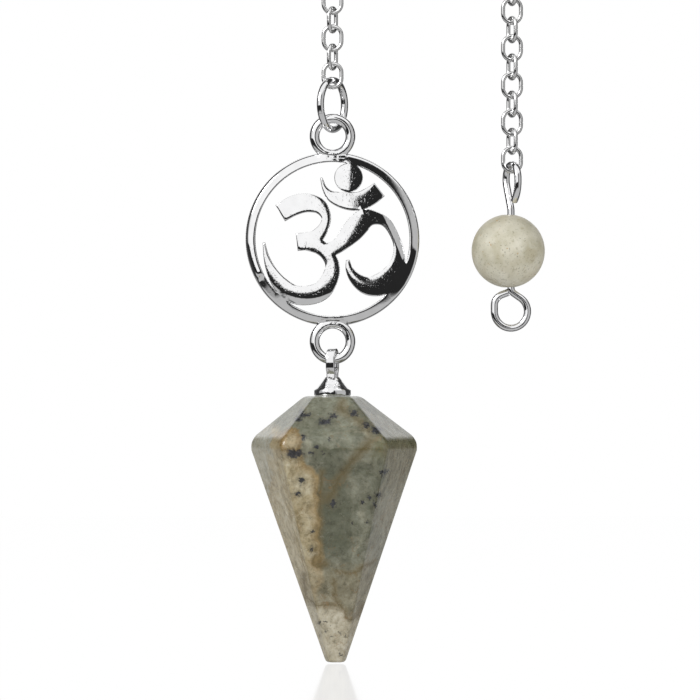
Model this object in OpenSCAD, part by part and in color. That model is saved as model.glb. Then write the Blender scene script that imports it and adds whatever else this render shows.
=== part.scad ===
// Pendulum pendant: a faceted stone drop under a cast Om medallion, on a
// cable chain that is draped over a hook and ends in a bead on a wire pin.
// The front faces -Y and Z points up. The origin is where the chain hangs,
// at the underside of the crest of its arch.

/* [Chain] */
// Number of links, an odd number so that both end links face forward
link_count = 85; // [61:2:101]
// Thickness of the wire of a link
link_wire = 0.44; // [0.36:0.01:0.5]
// Outside width of a link
link_w = 2.4; // [2.2:0.05:2.8]
// Distance from one link to the next along the chain
link_pitch = 2.03; // [1.9:0.01:2.4]
// Distance between the two hanging runs
run_gap = 19.6; // [17:0.1:24]
// How much further down the bead's run ends than the medallion's
run_extra = 9.2; // [6:0.1:14]

/* [Jump ring] */
// Thickness of the wire of the round jump ring
ring_wire = 0.8; // [0.6:0.05:0.9]
// Outside diameter of the jump ring
ring_d = 6.2; // [5.8:0.1:8]
// Turn of the jump ring about the vertical, in degrees
ring_turn = 61; // [56:1:75]

/* [Medallion] */
// Outside diameter of the medallion's rim
disc_d = 19; // [18:0.1:24]
// Width of the rim, seen from the front
rim_w = 1.1; // [0.9:0.05:1.5]
// Thickness of the rim, front to back
rim_t = 1.6; // [1.3:0.05:2]
// Thickness of the pierced sign inside the rim
sign_t = 1.3; // [0.9:0.05:1.6]
// Outside diameter of the two hanging loops
loop_d = 5; // [4.8:0.05:6]
// Thickness of the two hanging loops
loop_wire = 1.08; // [0.9:0.02:1.2]

/* [Cap] */
// Outside diameter of the cap on the stone
cap_d = 3.9; // [3.4:0.1:5]
// Height of the cap's straight band
cap_band = 0.62; // [0.4:0.02:1.2]
// Height of the cap's cone
cap_cone = 1.4; // [1:0.1:2.4]
// Diameter of the cone's small top
cap_top_d = 1.5; // [1.2:0.05:2]
// Width of the eye's strap
eye_w = 0.96; // [0.7:0.02:1.1]
// Thickness of the eye's strap
eye_t = 0.48; // [0.35:0.01:0.6]
// Clear width of the eye, front to back
eye_in = 1.8; // [1.7:0.05:2.2]
// Clear height of the eye above the cone
eye_clear = 2.72; // [2.5:0.02:3.4]
// Diameter of the peg that is glued into the stone
peg_d = 1.2; // [0.8:0.05:1.4]
// Length of the peg
peg_len = 6; // [3:0.5:10]

/* [Stone] */
// Width of the stone across the corners that show from the front
stone_w = 18.2; // [15:0.1:24]
// Height of the crown, from the shoulder up to the table
crown_h = 4.85; // [3:0.05:8]
// Height of the long body, from the shoulder down to the tip
body_h = 24.2; // [16:0.1:36]
// Width of the small flat table on top
table_w = 6.3; // [5.6:0.1:8]
// Width of the blunt tip
tip_w = 1.9; // [1.4:0.1:3]
// How far the polished edges are taken back
edge_cut = 0.5; // [0.2:0.05:0.8]

/* [Bead] */
// Diameter of the round bead
bead_d = 8; // [7:0.1:10]
// Thickness of the wire pin
pin_wire = 0.8; // [0.6:0.05:0.9]
// How far the bead's bore lies to the side of the bead's middle
bore_side = 0.3; // [0:0.05:0.5]
// Radius of the round of the lower loop, at the wire's middle
low_loop_r = 1.88; // [1.6:0.01:2.4]
// Radius of the round of the upper loop, at the wire's middle
top_loop_r = 1.65; // [1.5:0.01:1.9]

/* [Fits] */
// Gap between links of the chain
link_gap = 0.14; // [0.12:0.01:0.2]
// Gap where the jump ring and the pin hang in an end link
hook_gap = 0.2; // [0.18:0.01:0.3]
// Gap where the medallion hangs in the jump ring
swing_gap = 0.25; // [0.22:0.01:0.4]
// Gap where the cap's eye hangs on the medallion
eye_gap = 0.25; // [0.2:0.01:0.35]
// Gap between the pin and the bead's bore, all round
bore_gap = 0.05; // [0.03:0.01:0.1]
// Glue gap round the peg and under the cap
glue_gap = 0.04; // [0.02:0.01:0.1]

/* [Hidden] */
$fn = 48;

// Turn of the links that face forward, and of those between them
face_turn = -5;
side_turn = 67;

// The chain's route: up the medallion's run, over the arch, down the bead's
link_len = link_pitch + 2 * link_wire + link_gap;
arch_r = run_gap / 2;
arch_z = -(arch_r - link_w / 2);
arch_len = PI * arch_r;
route_len = (link_count - 1) * link_pitch;
left_run = (route_len - arch_len - run_extra) / 2;
right_run = left_run + run_extra;
link_low = (link_len - link_wire) / 2;

// Heights down the medallion's run, each at the middle of its wire or piece
left_end_z = arch_z - left_run;
ring_r = (ring_d - ring_wire) / 2;
ring_z = left_end_z - link_low + (link_wire + ring_wire) / 2 + hook_gap - ring_r;
swing_z = ring_z - ring_r;
loop_r = (loop_d - loop_wire) / 2;
loop_sink = 0.8;
loop_drop = (disc_d + loop_d) / 2 - loop_sink;
top_loop_z = swing_z + (ring_wire + loop_wire) / 2 + swing_gap - loop_r;
disc_z = top_loop_z - loop_drop;
drop_z = disc_z - loop_drop - loop_r;
eye_top_z = drop_z + loop_wire / 2 + eye_gap;
cone_top_z = eye_top_z - eye_clear;
cap_low_z = cone_top_z - cap_cone - cap_band;
table_z = cap_low_z - glue_gap;
shoulder_z = table_z - crown_h;

// Heights down the bead's run
right_end_z = arch_z - right_run;
pin_top_z = right_end_z - link_low + (link_wire + pin_wire) / 2 + hook_gap;

// Bends of the pin's loops, in the order that the wire takes them from the
// bead: straight length, radius of the bend after it, angle of the bend.
// A positive angle bends to the left of the way that the wire is going.
pin_neck = 0.35;
neck_turn = 25;
top_bends = [
    [pin_neck, 1, neck_turn],
    [1.58 * top_loop_r, top_loop_r, -(180 + neck_turn)],
    [1.55 * top_loop_r, 0, 0]
];
pin_foot = 0.03;
low_bends = [
    [pin_foot, 0.43 * low_loop_r, 42],
    [0.51 * low_loop_r, low_loop_r, -222],
    [0.37 * low_loop_r, 0.69 * low_loop_r, -65],
    [0.26 * low_loop_r, 0, 0]
];
top_loop_turn = -68;

// Height of the upper loop's crest over the bead, from the bends above
neck_bend_rise = top_bends[0][1] * sin(neck_turn);
neck_rise = top_bends[1][0] * cos(neck_turn);
crest_rise = pin_neck + neck_bend_rise + neck_rise
    + top_loop_r * (1 + sin(neck_turn));
bead_z = pin_top_z - crest_rise - bead_d / 2;

// How far the crest lies to the side of the shank, so that the crest hangs
// in the chain's line
crest_side = top_loop_r * cos(neck_turn)
    - top_bends[0][1] * (1 - cos(neck_turn))
    - top_bends[1][0] * sin(neck_turn);
pin_x = run_gap / 2 - crest_side * cos(top_loop_turn);
pin_y = -crest_side * sin(top_loop_turn);
bead_x = pin_x - bore_side;

// Strokes of the sign. Each row is one station on a stroke: its place across,
// its place up and its width there, as shares of the radius inside the rim.
sign_r = disc_d / 2 - rim_w;
upper_bowl = [
    [-0.679, 0.334, 0.243],
    [-0.503, 0.435, 0.26],
    [-0.328, 0.469, 0.243],
    [-0.17, 0.424, 0.204],
    [-0.085, 0.294, 0.13],
    [-0.107, 0.164, 0.136],
    [-0.204, 0.034, 0.192],
    [-0.322, -0.023, 0.226],
    [-0.464, -0.04, 0.232]
];
lower_bowl = [
    [-0.339, -0.051, 0.192],
    [-0.181, -0.096, 0.198],
    [-0.074, -0.192, 0.175],
    [-0.006, -0.322, 0.187],
    [-0.017, -0.469, 0.215],
    [-0.124, -0.656, 0.249],
    [-0.294, -0.729, 0.254],
    [-0.503, -0.718, 0.243],
    [-0.679, -0.582, 0.204],
    [-0.797, -0.401, 0.136],
    [-0.86, -0.226, 0.076],
    [-0.891, -0.045, 0.031]
];
tail = [
    [-0.09, -0.17, 0.192],
    [0.09, -0.074, 0.198],
    [0.249, 0.09, 0.283],
    [0.407, 0.249, 0.277],
    [0.565, 0.271, 0.17],
    [0.718, 0.192, 0.124],
    [0.843, -0.057, 0.113],
    [0.854, -0.283, 0.192],
    [0.78, -0.475, 0.294],
    [0.645, -0.582, 0.3],
    [0.464, -0.611, 0.243],
    [0.311, -0.526, 0.17],
    [0.221, -0.396, 0.102],
    [0.198, -0.271, 0.051]
];
crescent = [
    [-0.147, 0.797, 0.028],
    [-0.096, 0.65, 0.074],
    [0, 0.549, 0.153],
    [0.17, 0.498, 0.226],
    [0.345, 0.492, 0.243],
    [0.498, 0.56, 0.237],
    [0.611, 0.645, 0.221]
];
dot = [0.209, 0.797, 0.187];
steps = 4;

// A point on the smooth curve through p1 and p2, t of the way along
function blend(p0, p1, p2, p3, t) =
    0.5 * (2 * p1 + (p2 - p0) * t
    + (2 * p0 - 5 * p1 + 4 * p2 - p3) * t * t
    + (3 * p1 - p0 - 3 * p2 + p3) * t * t * t);

// The table's row i, carried on in line past either end
function row(t, i) =
    i < 0 ? 2 * t[0] - t[1]
    : i > len(t) - 1 ? 2 * t[len(t) - 1] - t[len(t) - 2]
    : t[i];

// The stations of a stroke with a few more between each two rows
function stations(t) = concat(
    [for (i = [0 : len(t) - 2]) for (k = [0 : steps - 1])
        blend(row(t, i - 1), t[i], t[i + 1], row(t, i + 2), k / steps)],
    [t[len(t) - 1]]);

// Unit vector across the stroke at station i
function across(s, i) =
    let (a = s[max(i - 1, 0)], b = s[min(i + 1, len(s) - 1)])
    let (run = [b[0] - a[0], b[1] - a[1]])
    [-run[1], run[0]] / norm(run);

// The point beside station i, on the left (side 1) or the right (side -1)
function edge_point(s, i, side) =
    [s[i][0], s[i][1]] + across(s, i) * side * s[i][2] / 2;

function stroke_outline(s) = concat(
    [for (i = [0 : len(s) - 1]) edge_point(s, i, 1)],
    [for (i = [len(s) - 1 : -1 : 0]) edge_point(s, i, -1)]);

// Flat outline of one stroke, in millimetres about the medallion's middle
module stroke(t) {
    polygon(stroke_outline(stations(t)) * sign_r);
}

// Half of a round-ended ring of wire, upright in the XZ plane
module half_oval(bend_r, straight, wire) {
    translate([0, 0, straight / 2])
        rotate([90, 0, 0])
            rotate_extrude(angle = 180)
                translate([bend_r, 0])
                    circle(d = wire);
    translate([bend_r, 0, 0])
        cylinder(d = wire, h = straight / 2);
    translate([-bend_r, 0, 0])
        cylinder(d = wire, h = straight / 2);
}

// Closed oval ring of wire, upright in the XZ plane, centred on the origin
module oval_ring(length, width, wire) {
    bend_r = (width - wire) / 2;
    straight = length - width;
    half_oval(bend_r, straight, wire);
    rotate([0, 180, 0])
        half_oval(bend_r, straight, wire);
}

// Places one link at its distance s along the chain's route
module on_route(s) {
    turn = 180 * min(max(s - left_run, 0), arch_len) / arch_len;
    below = max(left_run - s, s - left_run - arch_len, 0);
    translate([-arch_r * cos(turn), 0, arch_z + arch_r * sin(turn) - below])
        rotate([0, turn, 0])
            children();
}

module chain() {
    color("silver")
        for (i = [0 : link_count - 1])
            on_route(i * link_pitch)
                rotate([0, 0, i % 2 == 0 ? face_turn : side_turn])
                    oval_ring(link_len, link_w, link_wire);
}

module jump_ring() {
    color("silver")
        translate([-run_gap / 2, 0, ring_z])
            rotate([90, 0, ring_turn])
                rotate_extrude()
                    translate([ring_r, 0])
                        circle(d = ring_wire);
}

// Section of the rim: a flat back and a half-round front
module rim_section() {
    translate([disc_d / 2 - rim_w, -rim_t / 2])
        square([rim_w, rim_t - rim_w / 2]);
    translate([(disc_d - rim_w) / 2, (rim_t - rim_w) / 2])
        circle(d = rim_w);
}

// One hanging loop with the solder that flares from it onto the rim
module hanging_loop() {
    flare_w = 1.5 * loop_wire;
    translate([0, 0, loop_drop])
        rotate([90, 0, 0])
            rotate_extrude()
                translate([loop_r, 0])
                    circle(d = loop_wire);
    rotate([90, 0, 0])
        translate([0, disc_d / 2 - rim_w / 2, -loop_wire / 2])
            linear_extrude(loop_wire)
                difference() {
                    translate([-flare_w, 0])
                        square([2 * flare_w, loop_sink]);
                    for (side = [-1, 1])
                        translate([side * (flare_w + 0.3), loop_sink + 0.3])
                            circle(r = 0.75);
                }
}

// The sign, cut through between its strokes, tied to the rim all round
module sign() {
    rotate([90, 0, 0])
        translate([0, 0, -rim_t / 2])
            linear_extrude(sign_t)
                intersection() {
                    circle(d = disc_d - rim_w);
                    union() {
                        stroke(upper_bowl);
                        stroke(lower_bowl);
                        stroke(tail);
                        stroke(crescent);
                        translate([dot[0], dot[1]] * sign_r)
                            circle(r = dot[2] * sign_r);
                    }
                }
}

module medallion() {
    color("silver")
        translate([-run_gap / 2, 0, disc_z]) {
            rotate([90, 0, 0])
                rotate_extrude()
                    rim_section();
            sign();
            hanging_loop();
            rotate([0, 180, 0])
                hanging_loop();
        }
}

// Side outline of the eye: a round top on two straight legs
module eye_outline(width) {
    circle(d = width);
    translate([-width / 2, -eye_clear - cap_cone])
        square([width, eye_clear + cap_cone]);
}

module eye() {
    turn = 12;
    translate([0, 0, eye_top_z - eye_in / 2])
        rotate([90, 0, 90 - turn])
            translate([0, 0, -eye_w / 2])
                linear_extrude(eye_w)
                    difference() {
                        eye_outline(eye_in + 2 * eye_t);
                        eye_outline(eye_in);
                    }
}

module cap() {
    color("silver")
        translate([-run_gap / 2, 0, 0]) {
            intersection() {
                eye();
                translate([-cap_d / 2, -cap_d / 2, cap_low_z + cap_band])
                    cube([cap_d, cap_d, 2 * eye_clear + cap_cone]);
            }
            translate([0, 0, cap_low_z])
                rotate_extrude()
                    polygon([
                        [0, 0],
                        [cap_d / 2, 0],
                        [cap_d / 2, cap_band],
                        [cap_top_d / 2, cap_band + cap_cone],
                        [0, cap_band + cap_cone]
                    ]);
            translate([0, 0, cap_low_z - peg_len])
                cylinder(d = peg_d, h = peg_len + cap_band);
        }
}

// Closed skin through a list of rings, each with the same number of points
module skin(rings) {
    n = len(rings[0]);
    top = len(rings) - 1;
    points = [for (r = rings) for (c = r) c];
    walls = [for (k = [0 : top - 1]) for (i = [0 : n - 1])
        let (a = k * n + i, b = k * n + (i + 1) % n)
        each [[a, a + n, b + n], [a, b + n, b]]];
    first = [for (i = [0 : n - 1]) i];
    last = [for (i = [n - 1 : -1 : 0]) top * n + i];
    polyhedron(points, concat([first], walls, [last]));
}

// The stone's sharp profile, as half-width and height over the shoulder
sharp_half = stone_w / 2 + 0.6 * edge_cut;
sharp_profile = [
    [0, -body_h],
    [tip_w / 2, -body_h],
    [sharp_half, 0],
    [table_w / 2, crown_h],
    [0, crown_h]
];

// A point at distance d from a towards b
function toward(a, b, d) = a + (b - a) * d / norm(b - a);

// The profile with each edge taken back on both sides
tip_cut = min(edge_cut, tip_w / 4);
cut_profile = [
    toward(sharp_profile[1], sharp_profile[0], tip_cut),
    toward(sharp_profile[1], sharp_profile[2], tip_cut),
    toward(sharp_profile[2], sharp_profile[1], edge_cut),
    toward(sharp_profile[2], sharp_profile[3], edge_cut),
    toward(sharp_profile[3], sharp_profile[2], edge_cut / 2),
    toward(sharp_profile[3], sharp_profile[4], edge_cut / 2)
];

// A five-sided ring with its corners cut, one side square to the front.
// half is the half-width that shows from the front before the corners are cut.
sides = 5;
function cut_ring(half, z) =
    let (r = half / cos(18), side_half = r * sin(180 / sides))
    let (back = min(0.6 * edge_cut, 0.25 * side_half) / cos(180 / sides))
    [for (i = [0 : sides - 1]) for (s = [-1, 1])
        let (corner = -126 + 72 * i, next = corner + s * 72)
        let (p = r * [cos(corner), sin(corner)])
        let (q = r * [cos(next), sin(next)])
        let (c = toward(p, q, back))
        [c[0], c[1], z]];

module stone_body() {
    skin([for (p = cut_profile) cut_ring(p[0], p[1])]);
}

module stone() {
    bore_r = peg_d / 2 + glue_gap;
    bore_h = peg_len + 2 * glue_gap;
    color([0.52, 0.53, 0.45])
        translate([-run_gap / 2, 0, shoulder_z])
            difference() {
                stone_body();
                translate([0, 0, crown_h - bore_h])
                    cylinder(r = bore_r, h = bore_h + 1);
            }
}

// Where the wire is after a bend, from its place p and heading h in degrees
function after(p, h, b) =
    let (q = p + b[0] * [cos(h), sin(h)])
    let (m = q + sign(b[2]) * b[1] * [-sin(h), cos(h)])
    b[2] == 0 ? q
    : m + sign(b[2]) * b[1] * [sin(h + b[2]), -cos(h + b[2])];

// Stations along a wire in the XZ plane, each its place and its heading
bend_step = 15;
function bent_path(bends, p, h, i = 0) =
    i == len(bends) ? []
    : let (b = bends[i], n = ceil(abs(b[2]) / bend_step))
    concat(
        [[p[0] + b[0] * cos(h), p[1] + b[0] * sin(h), h]],
        [for (k = [1 : 1 : n])
            let (t = b[2] * k / n, q = after(p, h, [b[0], b[1], t]))
            [q[0], q[1], h + t]],
        bent_path(bends, after(p, h, b), h + b[2], i + 1));

// One round of the wire's skin at a station
wire_sides = 12;
function wire_ring(s, r) =
    [for (k = [0 : wire_sides - 1])
        let (a = 360 * k / wire_sides)
        [s[0] - r * sin(a) * sin(s[2]), r * cos(a), s[1] + r * sin(a) * cos(s[2])]];

// A loop of the pin, laid out from its bend table. It starts inside the
// straight shank and is a hair thinner, so that it joins it cleanly.
module bent_wire(bends, p, h) {
    r = 0.99 * pin_wire / 2;
    start = p - bead_d / 8 * [cos(h), sin(h)];
    path = concat([[start[0], start[1], h]], bent_path(bends, p, h));
    skin([for (s = path) wire_ring(s, r)]);
}

module bead_pin() {
    color("silver")
        translate([pin_x, pin_y, bead_z]) {
            translate([0, 0, -(bead_d + pin_foot) / 2])
                cylinder(d = pin_wire, h = bead_d + (pin_foot + pin_neck) / 2);
            rotate([0, 0, top_loop_turn])
                bent_wire(top_bends, [0, bead_d / 2], 90);
            bent_wire(low_bends, [0, -bead_d / 2], -90);
        }
}

module bead() {
    color([0.82, 0.78, 0.68])
        difference() {
            translate([bead_x, pin_y, bead_z])
                sphere(d = bead_d);
            translate([pin_x, pin_y, bead_z])
                cylinder(r = pin_wire / 2 + bore_gap, h = bead_d + 1, center = true);
        }
}

chain();
jump_ring();
medallion();
cap();
stone();
bead_pin();
bead();
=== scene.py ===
"""Looks of the pendulum pendant: chain, jump ring, medallion, cap, stone and bead.

Metres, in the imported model's frame. Sizes below are in millimetres, as in the
part's source, and the helpers turn them into metres.
"""
import math
from functools import partial

import bpy
import numpy as np
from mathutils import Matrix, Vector
from mathutils.geometry import delaunay_2d_cdt


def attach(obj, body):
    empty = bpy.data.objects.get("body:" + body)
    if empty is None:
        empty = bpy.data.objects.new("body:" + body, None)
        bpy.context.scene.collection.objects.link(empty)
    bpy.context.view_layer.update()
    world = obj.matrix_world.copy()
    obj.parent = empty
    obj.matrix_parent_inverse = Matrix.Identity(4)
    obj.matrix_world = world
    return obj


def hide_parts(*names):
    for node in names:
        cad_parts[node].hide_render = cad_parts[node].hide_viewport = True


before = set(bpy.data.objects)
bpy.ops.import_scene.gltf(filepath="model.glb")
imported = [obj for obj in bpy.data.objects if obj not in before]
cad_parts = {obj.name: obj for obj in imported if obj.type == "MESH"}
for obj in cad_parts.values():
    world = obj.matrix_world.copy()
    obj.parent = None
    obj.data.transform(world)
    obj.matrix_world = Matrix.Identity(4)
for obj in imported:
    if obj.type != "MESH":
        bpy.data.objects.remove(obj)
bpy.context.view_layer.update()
MM = 0.001


# Sizes of the part, in millimetres

LINK_COUNT, LINK_WIRE, LINK_W, LINK_PITCH, LINK_GAP = 85, 0.44, 2.4, 2.03, 0.14
RUN_GAP, RUN_EXTRA = 19.6, 9.2
FACE_TURN, SIDE_TURN = -5, 67
RING_WIRE, RING_D, RING_TURN = 0.8, 6.2, 61
DISC_D, RIM_W, RIM_T = 19, 1.1, 1.6
LOOP_D, LOOP_WIRE, LOOP_SINK, FLARE_GAP, FLARE_R = 5, 1.08, 0.8, 0.3, 0.75
CAP_D, CAP_BAND, CAP_CONE, CAP_TOP_D = 3.9, 0.62, 1.4, 1.5
EYE_W, EYE_T, EYE_IN, EYE_CLEAR, EYE_TURN = 0.96, 0.48, 1.8, 2.72, 12
STONE_W, CROWN_H, BODY_H, TABLE_W, TIP_W = 18.2, 4.85, 24.2, 6.3, 1.9
BEAD_D, BORE_SIDE, PIN_WIRE, LOW_LOOP_R, TOP_LOOP_R = 8, 0.3, 0.8, 1.81, 1.65
HOOK_GAP, SWING_GAP, EYE_GAP, BORE_GAP, GLUE_GAP = 0.2, 0.25, 0.25, 0.05, 0.04
BORE_LIP = 0.12

LINK_LEN = LINK_PITCH + 2 * LINK_WIRE + LINK_GAP
ARCH_R = RUN_GAP / 2
ARCH_Z = -(ARCH_R - LINK_W / 2)
ARCH_LEN = math.pi * ARCH_R
LEFT_RUN = ((LINK_COUNT - 1) * LINK_PITCH - ARCH_LEN - RUN_EXTRA) / 2
LINK_LOW = (LINK_LEN - LINK_WIRE) / 2
LEFT_X = -RUN_GAP / 2
RING_R = (RING_D - RING_WIRE) / 2
RING_Z = ARCH_Z - LEFT_RUN - LINK_LOW + (LINK_WIRE + RING_WIRE) / 2 + HOOK_GAP - RING_R
SWING_Z = RING_Z - RING_R
LOOP_R = (LOOP_D - LOOP_WIRE) / 2
LOOP_DROP = (DISC_D + LOOP_D) / 2 - LOOP_SINK
TOP_LOOP_Z = SWING_Z + (RING_WIRE + LOOP_WIRE) / 2 + SWING_GAP - LOOP_R
DISC_Z = TOP_LOOP_Z - LOOP_DROP
DROP_Z = DISC_Z - LOOP_DROP - LOOP_R
EYE_TOP_Z = DROP_Z + LOOP_WIRE / 2 + EYE_GAP
CONE_TOP_Z = EYE_TOP_Z - EYE_CLEAR
CAP_LOW_Z = CONE_TOP_Z - CAP_CONE - CAP_BAND
TABLE_Z = CAP_LOW_Z - GLUE_GAP
SHOULDER_Z = TABLE_Z - CROWN_H
TIP_Z = SHOULDER_Z - BODY_H

PIN_NECK, PIN_FOOT, NECK_TURN, TOP_LOOP_TURN = 0.35, 0.03, 25, -68
TOP_BENDS = [
    (PIN_NECK, 1, NECK_TURN),
    (1.58 * TOP_LOOP_R, TOP_LOOP_R, -(180 + NECK_TURN)),
    (0.15 * TOP_LOOP_R, 1.6 * TOP_LOOP_R, -52),
]
LOW_BENDS = [
    (PIN_FOOT, 0.7, 55), (0.9, LOW_LOOP_R, -235), (0.67, 1.25, -70), (0.74, 0, 0),
]
NECK_COS = math.cos(math.radians(NECK_TURN))
NECK_SIN = math.sin(math.radians(NECK_TURN))
CREST_RISE = (PIN_NECK + TOP_BENDS[0][1] * NECK_SIN + TOP_BENDS[1][0] * NECK_COS
              + TOP_LOOP_R * (1 + NECK_SIN))
CREST_SIDE = (TOP_LOOP_R * NECK_COS - TOP_BENDS[0][1] * (1 - NECK_COS)
              - TOP_BENDS[1][0] * NECK_SIN)
PIN_TOP_Z = (ARCH_Z - LEFT_RUN - RUN_EXTRA - LINK_LOW
             + (LINK_WIRE + PIN_WIRE) / 2 + HOOK_GAP)
PIN_X = RUN_GAP / 2 - CREST_SIDE * math.cos(math.radians(TOP_LOOP_TURN))
PIN_Y = -CREST_SIDE * math.sin(math.radians(TOP_LOOP_TURN))
BEAD_X = PIN_X - BORE_SIDE
BEAD_Z = PIN_TOP_Z - CREST_RISE - BEAD_D / 2

# Strokes of the sign: across, up and width, as shares of the radius inside the rim
SIGN_R = DISC_D / 2 - RIM_W
UPPER_BOWL = [
    (-0.679, 0.334, 0.243), (-0.503, 0.435, 0.26), (-0.328, 0.469, 0.243),
    (-0.17, 0.424, 0.204), (-0.085, 0.294, 0.13), (-0.107, 0.164, 0.136),
    (-0.204, 0.034, 0.192), (-0.322, -0.023, 0.226), (-0.464, -0.04, 0.232),
]
LOWER_BOWL = [
    (-0.339, -0.051, 0.192), (-0.181, -0.096, 0.198), (-0.074, -0.192, 0.175),
    (-0.006, -0.322, 0.187), (-0.017, -0.469, 0.215), (-0.124, -0.656, 0.249),
    (-0.294, -0.729, 0.254), (-0.503, -0.718, 0.243), (-0.679, -0.582, 0.204),
    (-0.797, -0.401, 0.136), (-0.86, -0.226, 0.076), (-0.891, -0.045, 0.031),
]
TAIL = [
    (-0.09, -0.17, 0.192), (0.09, -0.074, 0.198), (0.249, 0.09, 0.283),
    (0.407, 0.249, 0.277), (0.565, 0.271, 0.17), (0.718, 0.192, 0.124),
    (0.843, -0.057, 0.113), (0.854, -0.283, 0.192), (0.78, -0.475, 0.294),
    (0.645, -0.582, 0.3), (0.464, -0.611, 0.243), (0.311, -0.526, 0.17),
    (0.221, -0.396, 0.102), (0.198, -0.271, 0.051),
]
CRESCENT = [
    (-0.147, 0.797, 0.028), (-0.096, 0.65, 0.074), (0, 0.549, 0.153),
    (0.17, 0.498, 0.226), (0.345, 0.492, 0.243), (0.498, 0.56, 0.237),
    (0.611, 0.645, 0.221),
]
DOT = (0.209, 0.797, 0.187)


# Mesh helpers

def linked(name, data):
    """A new object with its data, in the scene."""
    obj = bpy.data.objects.new(name, data)
    bpy.context.scene.collection.objects.link(obj)
    return obj


def mesh_object(name, verts, faces, body, slot, replaces, sharp=40):
    """Makes a smooth-shaded piece from points in millimetres, which rides on a body and
    replaces nodes of the solids."""
    mesh = bpy.data.meshes.new(name)
    mesh.from_pydata([tuple(v) for v in np.asarray(verts, float) * MM], [], faces)
    mesh.validate()
    mesh.shade_smooth()
    mesh.set_sharp_from_angle(angle=math.radians(sharp))
    obj = linked(name, mesh)
    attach(obj, body)
    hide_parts(*replaces)
    return obj


def tube_faces(rows, sides, closed=False):
    """Faces from each row of points round a tube to the next."""
    faces = []
    for i in range(rows if closed else rows - 1):
        a, b = i * sides, (i + 1) % rows * sides
        for k in range(sides):
            m = (k + 1) % sides
            faces.append((a + k, a + m, b + m, b + k))
    return faces


def sweep(points, radii, sides, closed=False):
    """Round wire along a path: returns its points and faces."""
    p = np.asarray(points, float)
    n = len(p)
    if closed:
        tangent = np.roll(p, -1, 0) - np.roll(p, 1, 0)
    else:
        tangent = np.gradient(p, axis=0)
    tangent /= np.linalg.norm(tangent, axis=1)[:, None]
    normal = np.zeros_like(p)
    seed = np.array([0.0, 1.0, 0.0])
    if abs(tangent[0] @ seed) > 0.9:
        seed = np.array([1.0, 0.0, 0.0])
    for i in range(n):
        seed = seed - (seed @ tangent[i]) * tangent[i]
        seed /= np.linalg.norm(seed)
        normal[i] = seed
    second = np.cross(tangent, normal)
    angle = np.linspace(0, 2 * np.pi, sides, endpoint=False)
    radii = np.broadcast_to(np.asarray(radii, float), (n,))
    verts = (p[:, None] + radii[:, None, None]
             * (np.cos(angle)[None, :, None] * normal[:, None]
                + np.sin(angle)[None, :, None] * second[:, None])).reshape(-1, 3)
    faces = tube_faces(n, sides, closed)
    if not closed:
        faces.append(tuple(range(sides))[::-1])
        faces.append(tuple(range((n - 1) * sides, n * sides)))
    return verts, faces


def lathe(profile, steps):
    """Turns a profile of (radius, height) about Z. A radius of zero closes it."""
    verts, faces, rows = [], [], []
    for r, z in profile:
        count = steps if r else 1
        rows.append(range(len(verts), len(verts) + count))
        for k in range(count):
            a = 2 * math.pi * k / steps
            verts.append((r * math.cos(a), r * math.sin(a), z))
    for a, b in zip(rows[:-1], rows[1:]):
        for k in range(steps):
            m = (k + 1) % steps
            quad = [a[k % len(a)], b[k % len(b)], b[m % len(b)], a[m % len(a)]]
            face = tuple(dict.fromkeys(quad))
            if len(face) > 2:
                faces.append(face)
    return np.array(verts), faces


def turned(verts, degrees, axis="Z"):
    """Turns points about Z, or else Y, through the origin."""
    c, s = math.cos(math.radians(degrees)), math.sin(math.radians(degrees))
    x, y, z = np.asarray(verts, float).T
    if axis == "Z":
        return np.c_[c * x - s * y, s * x + c * y, z]
    return np.c_[c * x + s * z, y, c * z - s * x]


def joined(parts):
    """Joins several (points, faces) pairs into one."""
    verts, faces, start = [], [], 0
    for v, f in parts:
        verts.append(np.asarray(v, float))
        faces += [tuple(i + start for i in face) for face in f]
        start += len(v)
    return np.vstack(verts), faces


def torus(radius, wire_r, steps, sides):
    """Ring of round wire, upright in the XZ plane."""
    a = np.linspace(0, 2 * np.pi, steps, endpoint=False)
    path = np.c_[radius * np.cos(a), 0 * a, radius * np.sin(a)]
    return sweep(path, wire_r, sides, closed=True)


# Materials

def node_material(name):
    """A node material with its tree and its Principled shader."""
    mat = bpy.data.materials.new(name)
    mat.use_nodes = True
    return mat, mat.node_tree, mat.node_tree.nodes["Principled BSDF"]


def object_coords(tree):
    return tree.nodes.new("ShaderNodeTexCoord").outputs["Object"]


def feed(tree, value, socket):
    """Links a socket, or sets a plain value on it."""
    if isinstance(value, bpy.types.NodeSocket):
        tree.links.new(value, socket)
    elif socket.type == "RGBA" and len(value) == 3:
        socket.default_value = (*value, 1)
    else:
        socket.default_value = value


def set_inputs(tree, node, values):
    """Feeds a node's inputs, each given by its name or number."""
    for key, value in values.items():
        feed(tree, value, node.inputs[key])


def add(tree, kind, values):
    """A new node with its inputs fed."""
    node = tree.nodes.new(kind)
    set_inputs(tree, node, values)
    return node


def operate(tree, kind, operation, values):
    """A new math node's outputs, with the values in its inputs."""
    node = tree.nodes.new(kind)
    node.operation = operation
    set_inputs(tree, node, dict(enumerate(values)))
    return node.outputs


def calc(tree, operation, *values):
    return operate(tree, "ShaderNodeMath", operation, values)["Value"]


def product(tree, first, *others):
    """All the values multiplied, in their order."""
    for value in others:
        first = calc(tree, "MULTIPLY", first, value)
    return first


def vector(tree, operation, *values):
    outputs = operate(tree, "ShaderNodeVectorMath", operation, values)
    return outputs["Value" if operation in ("LENGTH", "DISTANCE", "DOT_PRODUCT") else "Vector"]


def split(tree, value):
    return add(tree, "ShaderNodeSeparateXYZ", {"Vector": value}).outputs[:]


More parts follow.
